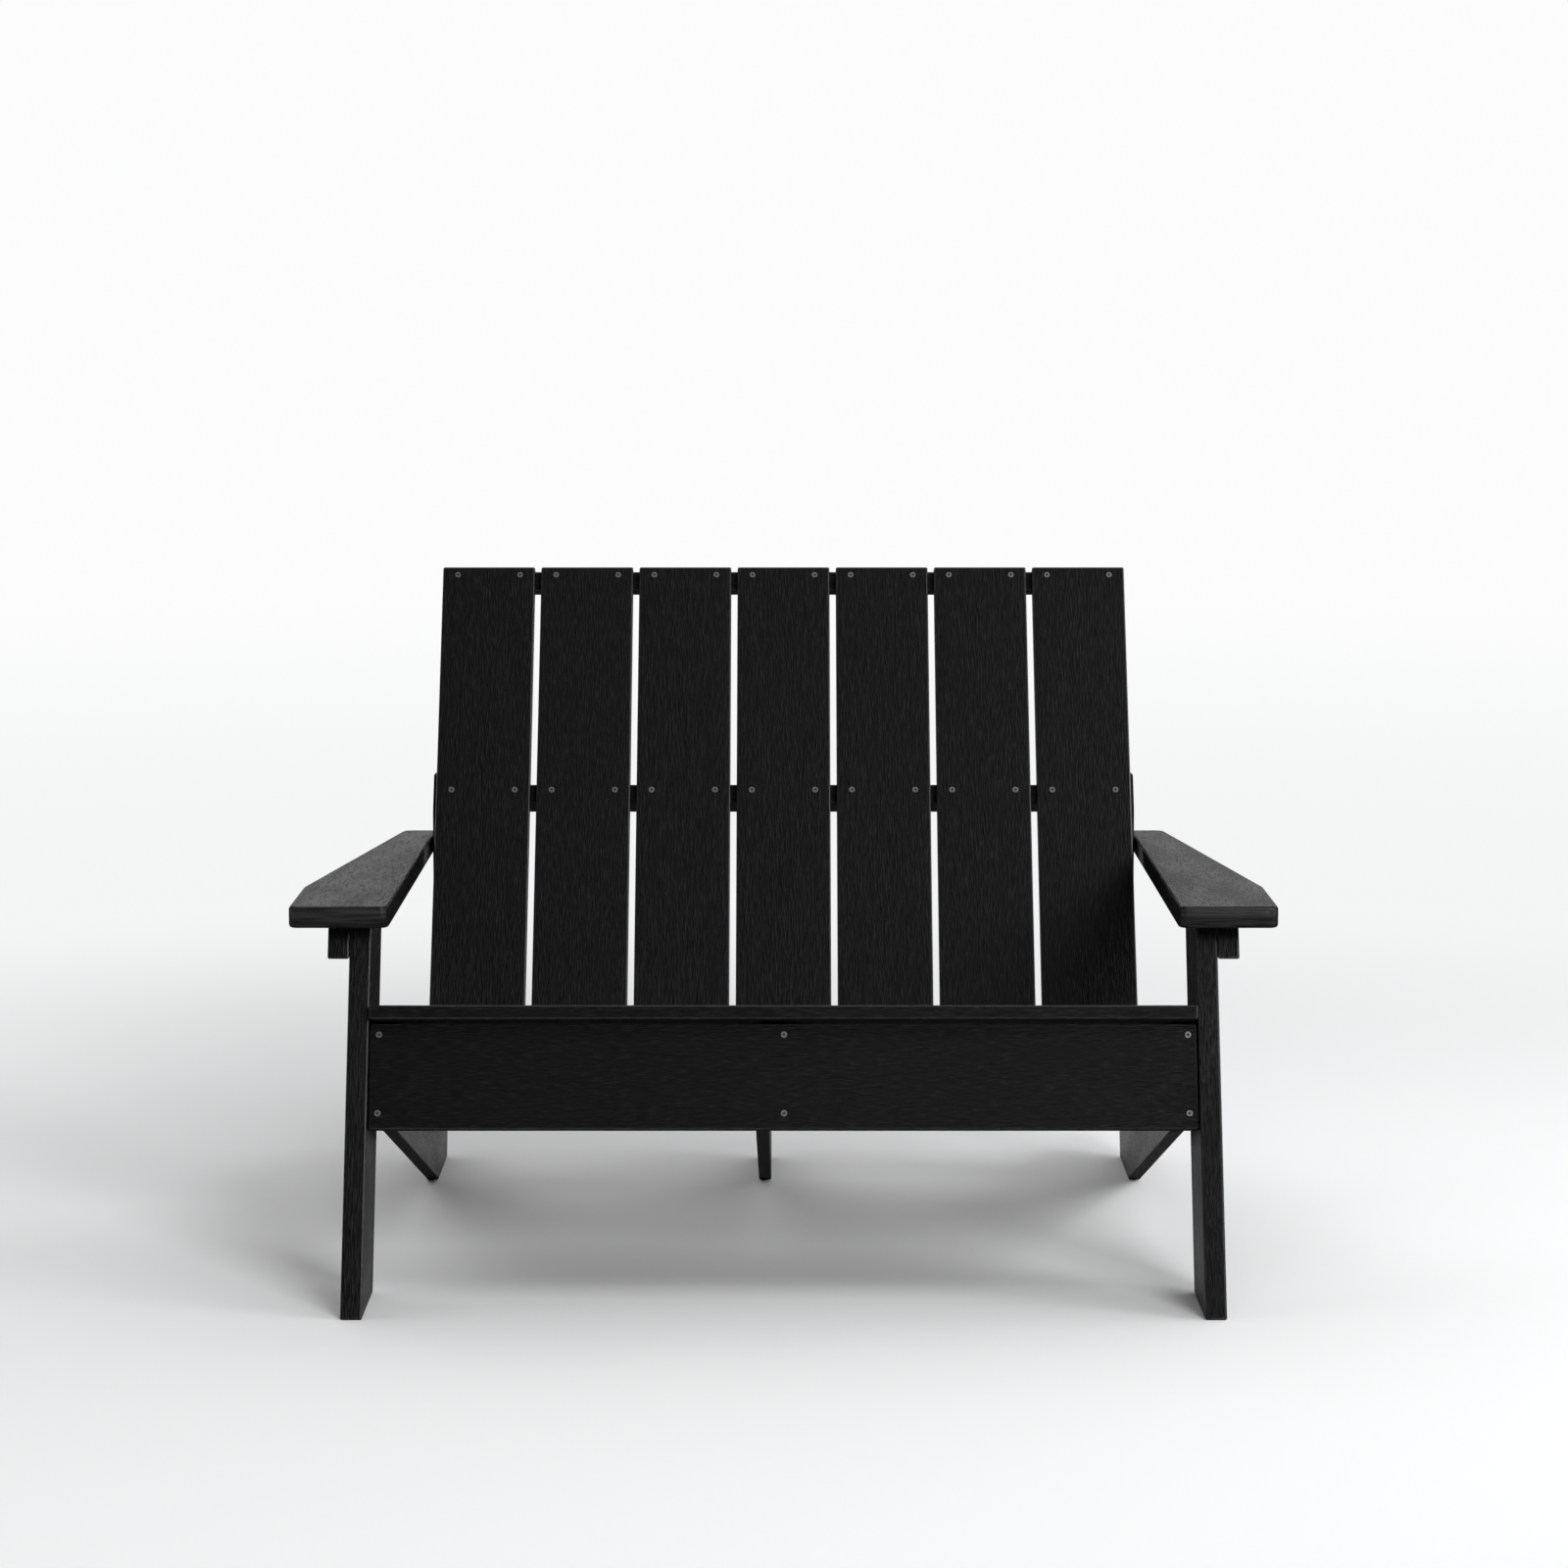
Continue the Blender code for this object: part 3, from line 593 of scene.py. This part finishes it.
# A round solid from (radius, distance) stations along Z
def turnedShape(tree, stations, sides):
    index = tree.nodes.new("GeometryNodeInputIndex").outputs[0]

    def pick(column):
        switch = addNode(tree, "GeometryNodeIndexSwitch", {"data_type": "FLOAT"})
        while len(switch.index_switch_items) < len(stations):
            switch.index_switch_items.new()
        feed(tree, index, switch.inputs[0])
        for number, station in enumerate(stations):
            feed(tree, station[column], switch.inputs[number + 1])
        return switch.outputs[0]

    line = addNode(tree, "GeometryNodeMeshLine", Count=len(stations)).outputs[0]
    along = join(tree, Z=pick(1))
    line = addNode(tree, "GeometryNodeSetPosition", Geometry=line, Position=along).outputs[0]
    spine = addNode(tree, "GeometryNodeMeshToCurve", Mesh=line).outputs[0]
    ring = addNode(tree, "GeometryNodeCurvePrimitiveCircle", Resolution=sides, Radius=1.0).outputs[0]
    wide = pick(0)
    return addNode(
        tree, "GeometryNodeCurveToMesh", Curve=spine, Profile_Curve=ring, Scale=wide, Fill_Caps=True
    ).outputs[0]


def block(tree, x, y, z):
    return addNode(tree, "GeometryNodeMeshCube", Size=join(tree, X=x, Y=y, Z=z)).outputs[0]


def cutAway(tree, solid, *cutters):
    cut = addNode(tree, "GeometryNodeMeshBoolean", {"operation": "DIFFERENCE", "solver": "EXACT"})
    feed(tree, solid, cut.inputs["Mesh 1"])
    for cutter in cutters:
        feed(tree, cutter, cut.inputs["Mesh 2"])
    return cut.outputs[0]


# Countersunk screw with a cross recess and a pit in its middle
screwForm = {
    "sides": 16,
    "tip": 0.2,  # of the shank's radius
    "pitSides": 8,
    "pitWidth": 1.15,  # of the cross's width
    "pitDepth": 1.4,  # of the cross's depth
    "pitPoint": 0.0001,  # radius in metres
    "recessReach": 0.53,  # of the cross's length, from the axis
    "recessFrom": 0.00002,  # metres below the head's face
    "recessTo": 1.02,  # of the pit's depth
}


def screwShape(tree, given):
    rim = given["Rim"]
    head = given["Head Radius"]
    shank = given["Shank Radius"]
    stations = [
        (maths(tree, "SUBTRACT", head, rim), 0.0),
        (head, rim),
        (shank, given["Head Depth"]),
        (shank, maths(tree, "SUBTRACT", given["Length"], head)),
        (maths(tree, "MULTIPLY", shank, screwForm["tip"]), given["Length"]),
    ]
    body = turnedShape(tree, stations, screwForm["sides"])
    deep = maths(tree, "MULTIPLY", given["Cross Depth"], 2.0)  # blocks lie half above the head
    pitRadius = maths(tree, "MULTIPLY", given["Cross Width"], screwForm["pitWidth"])
    pitStart = maths(tree, "MULTIPLY", given["Cross Depth"], -1.0)
    pitEnd = maths(tree, "MULTIPLY", given["Cross Depth"], screwForm["pitDepth"])
    pitStations = [(pitRadius, pitStart), (pitRadius, 0.0), (screwForm["pitPoint"], pitEnd)]
    crossed = cutAway(
        tree, body,
        block(tree, given["Cross Length"], given["Cross Width"], deep),
        block(tree, given["Cross Width"], given["Cross Length"], deep),
        turnedShape(tree, pitStations, screwForm["pitSides"]),
    )
    # Faces of the recess: as near the axis as the cross reaches, and between head face and pit
    place = split(tree, tree.nodes.new("GeometryNodeInputPosition").outputs[0])
    fromAxis = vectorMaths(tree, "LENGTH", join(tree, X=place["X"], Y=place["Y"]), result="Value")
    reach = maths(tree, "MULTIPLY", given["Cross Length"], screwForm["recessReach"])
    inward = maths(tree, "LESS_THAN", fromAxis, reach)
    below = maths(tree, "GREATER_THAN", place["Z"], screwForm["recessFrom"])
    floorLevel = maths(tree, "MULTIPLY", pitEnd, screwForm["recessTo"])
    shallow = maths(tree, "LESS_THAN", place["Z"], floorLevel)
    inside = maths(tree, "MULTIPLY", maths(tree, "MULTIPLY", inward, below), shallow)
    return addNode(
        tree, "GeometryNodeStoreNamedAttribute", {"data_type": "BOOLEAN", "domain": "FACE"},
        Geometry=crossed, Name="recess", Value=inside,
    ).outputs[0]


# Carriage bolt: a domed head, a plain shank and a chamfered end
boltForm = {
    "sides": 20,
    "domeAngles": (84, 66, 48, 32, 18, 6),  # degrees, from the head's crown down to its rim
    "underside": 0.97,  # of the head's radius
    "neck": 0.0001,  # metres from the underside to the shank
}


def boltShape(tree, given):
    head = given["Head Radius"]
    shank = given["Shank Radius"]
    length = given["Length"]
    chamfer = given["End Chamfer"]
    stations = []
    for angle in boltForm["domeAngles"]:
        wide = maths(tree, "MULTIPLY", head, math.cos(math.radians(angle)))
        high = maths(tree, "MULTIPLY", given["Head Height"], -math.sin(math.radians(angle)))
        stations.append((wide, high))
    stations += [
        (maths(tree, "MULTIPLY", head, boltForm["underside"]), 0.0),
        (shank, boltForm["neck"]),
        (shank, maths(tree, "SUBTRACT", length, chamfer)),
        (maths(tree, "SUBTRACT", shank, chamfer), length),
    ]
    return turnedShape(tree, stations, boltForm["sides"])


# Nut: what a hexagon and a chamfered round have in common, then bored
nutForm = {
    "sides": 24,
    "chamferRise": 0.6,  # of the chamfer's width
    "beyond": 0.0001,  # metres that the round stands out past each face
    "boreSides": 16,
    "boreBeyond": 0.002,
}


def nutShape(tree, given):
    radius = given["Radius"]
    height = given["Height"]
    hexagon = turnedShape(tree, [(radius, 0.0), (radius, height)], 6)
    small = maths(tree, "SUBTRACT", radius, given["Chamfer"])
    rise = maths(tree, "MULTIPLY", given["Chamfer"], nutForm["chamferRise"])
    stations = [
        (small, -nutForm["beyond"]),
        (radius, rise),
        (radius, maths(tree, "SUBTRACT", height, rise)),
        (small, maths(tree, "ADD", height, nutForm["beyond"])),
    ]
    rounding = turnedShape(tree, stations, nutForm["sides"])
    both = addNode(tree, "GeometryNodeMeshBoolean", {"operation": "INTERSECT", "solver": "EXACT"})
    feed(tree, hexagon, both.inputs["Mesh 2"])
    feed(tree, rounding, both.inputs["Mesh 2"])
    boreEnd = maths(tree, "ADD", height, nutForm["boreBeyond"])
    boreStations = [(given["Bore"], -nutForm["boreBeyond"]), (given["Bore"], boreEnd)]
    return cutAway(tree, both.outputs[0], turnedShape(tree, boreStations, nutForm["boreSides"]))


screwTree = fastenerTree(
    "cross head screws",
    [
        "Head Radius", "Head Depth", "Shank Radius", "Length", "Rim",
        "Cross Length", "Cross Width", "Cross Depth",
    ],
    screwShape,
)
boltTree = fastenerTree(
    "carriage bolts", ["Head Radius", "Head Height", "Shank Radius", "Length", "End Chamfer"], boltShape
)
nutTree = fastenerTree("hex nuts", ["Radius", "Height", "Chamfer", "Bore"], nutShape)

fastenerSharp = math.radians(35)


# Runs a fastener tree on points that hold their directions, and keeps its result as a plain mesh
def runTree(tree, name, places, values, material, seed):
    mesh = bpy.data.meshes.new(name)
    mesh.from_pydata([place for place, toward in places], [], [])
    towards = mesh.attributes.new("toward", "FLOAT_VECTOR", "POINT")
    for index, (place, toward) in enumerate(places):
        towards.data[index].vector = toward
    piece = addObject(name, mesh)
    modifier = piece.modifiers.new("fasteners", "NODES")
    modifier.node_group = tree
    sockets = modifierInputs(tree)
    for label, value in values.items():
        modifier[sockets[label]] = value
    modifier[sockets["Seed"]] = seed
    modifier[sockets["Steel"]] = material
    modifier[sockets["Recess Shade Steel"]] = shadedRecessSteel
    graph = bpy.context.evaluated_depsgraph_get()
    finished = bpy.data.meshes.new_from_object(piece.evaluated_get(graph))
    piece.modifiers.clear()
    piece.data = finished
    finished.shade_smooth()
    finished.set_sharp_from_angle(angle=fastenerSharp)
    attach(piece, "root")
    print(name + ":", len(places), "set,", len(finished.polygons), "faces")
    return piece


# A place on a board's wide face, in steps from its middle along its length and across it
def onFace(name, lengthwise, crosswise):
    along, across, face = boards[name]["turn"]
    middle = boards[name]["centre"] + along * lengthwise + across * crosswise
    return middle + face * boards[name]["half"].z


sunk = 0.0003  # heads lie this far below the surface

# Sizes in metres, and the furthest turn to either side in radians
woodScrew = {
    "Head Radius": 0.0044, "Head Depth": 0.0038, "Shank Radius": 0.0022, "Rim": 0.00035,
    "Cross Length": 0.0056, "Cross Width": 0.0015, "Cross Depth": 0.0022, "Turn": 0.14,
}
frameScrew = {
    **woodScrew, "Head Radius": 0.0065, "Head Depth": 0.005, "Shank Radius": 0.003,
    "Cross Length": 0.0068, "Cross Width": 0.0016,
}


def driveScrews(name, places, length, seed):
    sunkPlaces = [(place + toward * sunk, toward) for place, toward in places]
    runTree(screwTree, name, sunkPlaces, {**woodScrew, "Length": length}, screwSteel, seed)


# Back boards: a pair of screws into each of the three rails
backScrews = {
    "fromTop": 0.0127, "railHeight": 0.411, "fromFoot": 0.0286, "fromEdge": 0.0227, "length": 0.035, "seed": 3
}


def makeBackScrews():
    places = []
    for name, board in boards.items():
        if name.startswith("back_slat_"):
            half = board["half"]
            offset = half.y - backScrews["fromEdge"]
            topRow = half.x - backScrews["fromTop"]
            middleRow = -half.x + backScrews["railHeight"]
            lowerRow = -half.x + backScrews["fromFoot"]
            for row in (topRow, middleRow, lowerRow):
                places += [(onFace(name, row, side * offset), -backFront) for side in (-1, 1)]
    driveScrews("back_screws", places, backScrews["length"], backScrews["seed"])


# Seat boards: two screws into each stringer, near the rear edge
seatScrews = {"fromRear": (0.025, 0.065), "length": 0.045, "seed": 5}


def makeSeatScrews():
    places = []
    for name, board in boards.items():
        if name.startswith("seat_slat_"):
            for stringer in ("stringer_left", "stringer_centre", "stringer_right"):
                across = boards[stringer]["centre"].x
                for back in seatScrews["fromRear"]:
                    places.append((onFace(name, across, board["half"].y - back), -seatUp))
    driveScrews("seat_screws", places, seatScrews["length"], seatScrews["seed"])


# Cleats: two screws sideways each, into the leg or the centre stringer
cleatScrews = {"spacing": 0.05, "length": 0.052, "seed": 7}


def makeCleatScrews():
    places = []
    for name, outward in (("apron_cleat_left", -1), ("apron_cleat_right", 1), ("apron_cleat_centre", -1)):
        cleat = boards[name]
        for step in (-0.5, 0.5):
            rise = seatUp * (step * cleatScrews["spacing"])
            place = cleat["centre"] + rise - acrossWay * (outward * cleat["half"].y)
            places.append((place, acrossWay * outward))
    driveScrews("cleat_screws", places, cleatScrews["length"], cleatScrews["seed"])


# Blocks under the arms: one screw out through each leg, two up through each block
blockScrews = {
    "legSetback": 0.059, "drop": 0.0214, "legLength": 0.05, "legSeed": 11,
    "armSpacing": 0.1, "armLength": 0.065, "armSeed": 13,
}


def makeBlockScrews():
    sideways = []
    upward = []
    for side, sign in (("left", -1), ("right", 1)):
        legLow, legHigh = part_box("front_leg_" + side)
        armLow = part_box("arm_" + side)[0]
        height = armLow[2] - blockScrews["drop"]
        front = legLow[1] + height * math.tan(legLean) + blockScrews["legSetback"]
        inner = min(abs(legLow[0]), abs(legHigh[0]))
        sideways.append((Vector((sign * inner, front, height)), acrossWay * sign))
        low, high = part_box("arm_bracket_" + side)
        run = high[1] - low[1] - (high[2] - low[2]) * math.tan(legLean)
        for step in (-0.5, 0.5):
            y = low[1] + run / 2 + step * blockScrews["armSpacing"]
            upward.append((Vector(((low[0] + high[0]) / 2, y, low[2])), upWay))
    driveScrews("leg_block_screws", sideways, blockScrews["legLength"], blockScrews["legSeed"])
    driveScrews("arm_block_screws", upward, blockScrews["armLength"], blockScrews["armSeed"])


headFlatness = 0.0001  # points this near the outermost one belong to a head's flat end


# Middle of the end of a modelled fastener that lies furthest against its direction
def headPlace(name, toward):
    points = [vertex.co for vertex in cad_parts[name].data.vertices]
    start = min(point.dot(toward) for point in points)
    low, high = limits([point for point in points if point.dot(toward) < start + headFlatness])
    return (low + high) / 2


def nodesNamed(prefix):
    return [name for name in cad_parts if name.startswith(prefix)]


# Screws that the frame already holds get their detailed form in the same places
frameScrews = {
    "apron_screws": {
        "node": "apron_screw_", "toward": seatWay, "screw": woodScrew, "length": 0.04, "seed": 20
    },
    "arm_screws": {
        "node": "arm_rear_screw_", "toward": -upWay, "screw": woodScrew, "length": 0.055, "seed": 21
    },
    "mid_rail_screws": {
        "node": "mid_rail_screw_", "toward": -backFront, "screw": frameScrew, "length": 0.07, "seed": 22
    },
    "lower_rail_screws": {
        "node": "lower_rail_screw_", "toward": -backWay, "screw": frameScrew, "length": 0.1, "seed": 23
    },
}


def makeFrameScrews():
    for name, values in frameScrews.items():
        nodes = nodesNamed(values["node"])
        places = [(headPlace(node, values["toward"]), values["toward"]) for node in nodes]
        sizes = {**values["screw"], "Length": values["length"]}
        piece = runTree(screwTree, name, places, sizes, screwSteel, values["seed"])
        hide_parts(*nodes)


# Carriage bolts and their nuts, sizes in metres
bolt = {
    "Head Radius": 0.0095, "Head Height": 0.0045, "Shank Radius": 0.0039, "End Chamfer": 0.0006, "Turn": 3.0
}
nut = {"Radius": 0.0075, "Height": 0.0065, "Chamfer": 0.0011, "Bore": 0.0042, "Turn": 3.0}
boltGroups = {"leg": {"boltSeed": 40, "nutSeed": 50}, "post": {"boltSeed": 41, "nutSeed": 51}}


def inwardFrom(name):
    return acrossWay * (1 if "left" in name else -1)


def makeBolts():
    for group, values in boltGroups.items():
        bolts = nodesNamed(group + "_bolt_")
        places = []
        for name in bolts:
            inward = inwardFrom(name)
            low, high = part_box(name)
            places.append((headPlace(name, inward) + inward * bolt["Head Height"], inward))
        sizes = {**bolt, "Length": high[0] - low[0] - bolt["Head Height"]}  # alike within a group
        piece = runTree(boltTree, group + "_bolts", places, sizes, threadSteel, values["boltSeed"])
        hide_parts(*bolts)
        nuts = nodesNamed(group + "_nut_")
        places = [(headPlace(name, inwardFrom(name)), inwardFrom(name)) for name in nuts]
        piece = runTree(nutTree, group + "_nuts", places, nut, boltSteel, values["nutSeed"])
        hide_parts(*nuts)


makeBackScrews()
makeSeatScrews()
makeCleatScrews()
makeBlockScrews()
makeFrameScrews()
makeBolts()


# Plain pale floor that fades into the backdrop, distances in metres from the middle
studio = {
    "floor": (0.92, 0.928, 0.932, 1),
    "farFloor": (0.9, 0.91, 0.912, 1),
    "backdrop": (0.975, 0.978, 0.98, 1),
    "fadeFrom": 0.8,
    "fadeTo": 3.2,
    "blendTo": 12.0,
    "floorReach": 60.0,
}


def makeFloor():
    mesh = bpy.data.meshes.new("floor")
    reach = studio["floorReach"]
    corners = [(x * reach, y * reach, 0) for x, y in ((-1, -1), (1, -1), (1, 1), (-1, 1))]
    mesh.from_pydata(corners, [], [(0, 1, 2, 3)])
    floor = addObject("floor", mesh)
    material, tree = newMaterial("pale floor")
    tree.nodes.clear()
    matt = addNode(tree, "ShaderNodeBsdfDiffuse", Color=studio["floor"])
    source = tree.nodes.new("ShaderNodeTexCoord")
    far = vectorMaths(tree, "LENGTH", source.outputs["Object"], result="Value")
    fade = ramp(tree, far, studio["fadeFrom"], studio["fadeTo"])
    blend = ramp(tree, far, studio["fadeTo"], studio["blendTo"])
    shade = mixColour(tree, blend, studio["farFloor"], studio["backdrop"])
    glow = addNode(tree, "ShaderNodeEmission", Color=shade, Strength=1.0)
    path = tree.nodes.new("ShaderNodeLightPath").outputs
    mirrored = maths(tree, "MAXIMUM", path["Is Glossy Ray"], path["Is Transmission Ray"])
    seen = maths(tree, "MAXIMUM", path["Is Camera Ray"], mirrored)
    mixShaders(tree, maths(tree, "MULTIPLY", fade, seen), matt, glow, "ShaderNodeOutputMaterial")
    mesh.materials.append(material)


makeFloor()

# World: the white backdrop lies behind the object, and the studio in front of it is dark
fill = {"front": 0.04, "behind": 1.1, "darkTo": -0.3, "whiteFrom": 0.8}


def makeWorld():
    world = bpy.data.worlds.new("studio")
    bpy.context.scene.world = world
    world.use_nodes = True
    tree = world.node_tree
    tree.nodes.clear()
    path = tree.nodes.new("ShaderNodeLightPath").outputs
    source = tree.nodes.new("ShaderNodeTexCoord")
    rearward = split(tree, source.outputs["Generated"])["Y"]
    behind = ramp(tree, rearward, fill["darkTo"], fill["whiteFrom"])
    strength = ramp(tree, behind, 0.0, 1.0, fill["front"], fill["behind"], "LINEAR")
    ambient = addNode(tree, "ShaderNodeBackground", Color=(1, 1, 1, 1), Strength=strength)
    shown = addNode(tree, "ShaderNodeBackground", Color=studio["backdrop"], Strength=1.0)
    mirrored = maths(tree, "MULTIPLY", path["Is Glossy Ray"], behind)
    straight = maths(tree, "MAXIMUM", path["Is Camera Ray"], path["Is Transmission Ray"])
    mixShaders(tree, maths(tree, "MAXIMUM", straight, mirrored), ambient, shown, "ShaderNodeOutputWorld")


makeWorld()

# Softboxes, places and sizes in metres, power in watts
lamps = {
    "right softbox": {"place": (5.0, -1.3, 3.0), "aim": (0, 0.1, 0.4), "size": (1.6, 2.2), "power": 70.0},
    "side softbox": {"place": (3.4, 0.3, 1.5), "aim": (0, 0.1, 0.4), "size": (1.2, 1.6), "power": 20.0},
    "high softbox": {"place": (5.0, -2.4, 5.3), "aim": (0, 0, 0.3), "size": (2.4, 2.4), "power": 40.0},
    "top softbox": {"place": (0.4, -1.6, 4.2), "aim": (0, 0, 0.4), "size": (2.4, 1.6), "power": 24.0},
    "left softbox": {"place": (-4.2, 0.0, 4.6), "aim": (0, 0, 0.3), "size": (2.4, 2.4), "power": 22.0},
    "front softbox": {"place": (4.1, -8.8, 4.7), "aim": (0, 0, 0.3), "size": (3.9, 2.9), "power": 555.0},
}


def makeLamp(name, values):
    light = bpy.data.lights.new(name, "AREA")
    light.shape = "RECTANGLE"
    light.size, light.size_y = values["size"]
    light.energy = values["power"]
    lamp = addObject(name, light)
    lamp.visible_camera = False
    lamp.location = values["place"]
    lamp.rotation_euler = (Vector(values["aim"]) - lamp.location).to_track_quat("-Z", "Y").to_euler()


for lampName, lampValues in lamps.items():
    makeLamp(lampName, lampValues)

# Camera at the photograph's viewing angle
view = {
    "place": (0, -5.816, 1.387), "pitch": math.radians(5.014),
    "lens": 93.69, "sensor": 36.0, "shift": (0.0003, -0.1),
}


def makeCamera():
    data = bpy.data.cameras.new("camera")
    data.lens = view["lens"]
    data.sensor_width = view["sensor"]
    data.shift_x, data.shift_y = view["shift"]
    camera = addObject("camera", data)
    camera.location = view["place"]
    camera.rotation_euler = (math.pi / 2 - view["pitch"], 0, 0)
    bpy.context.scene.camera = camera


makeCamera()
bpy.context.scene.view_settings.view_transform = "Standard"
print("floor, lamps and camera made")
